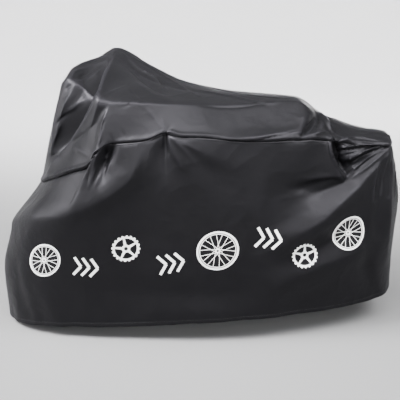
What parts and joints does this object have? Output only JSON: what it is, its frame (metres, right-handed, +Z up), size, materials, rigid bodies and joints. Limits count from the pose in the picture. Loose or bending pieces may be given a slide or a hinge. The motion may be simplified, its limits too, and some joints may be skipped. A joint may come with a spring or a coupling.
{
  "type": "bicycle cover",
  "caption": "Fitted cloth cover draped over a bicycle that is left out: a crown sheet over handlebar, saddle and carrier, sewn to a side skirt on each side, open below.",
  "frame": {"origin": "middle of the cover in plan, at the height of the hem's lowest point", "axes": "+X to the rear wheel's end, +Y away from the printed side, +Z up"},
  "size_m": [1.7891, 0.755, 1.1685],
  "materials": {
    "cloth": "black coated polyester with a soft sheen",
    "print": "white screen print on the cloth",
    "thread": "black sewing thread"
  },
  "bodies": {
    "root": {"crown": "cloth", "skirt_left": "cloth", "skirt_right": "cloth"}
  },
  "joints": []
}
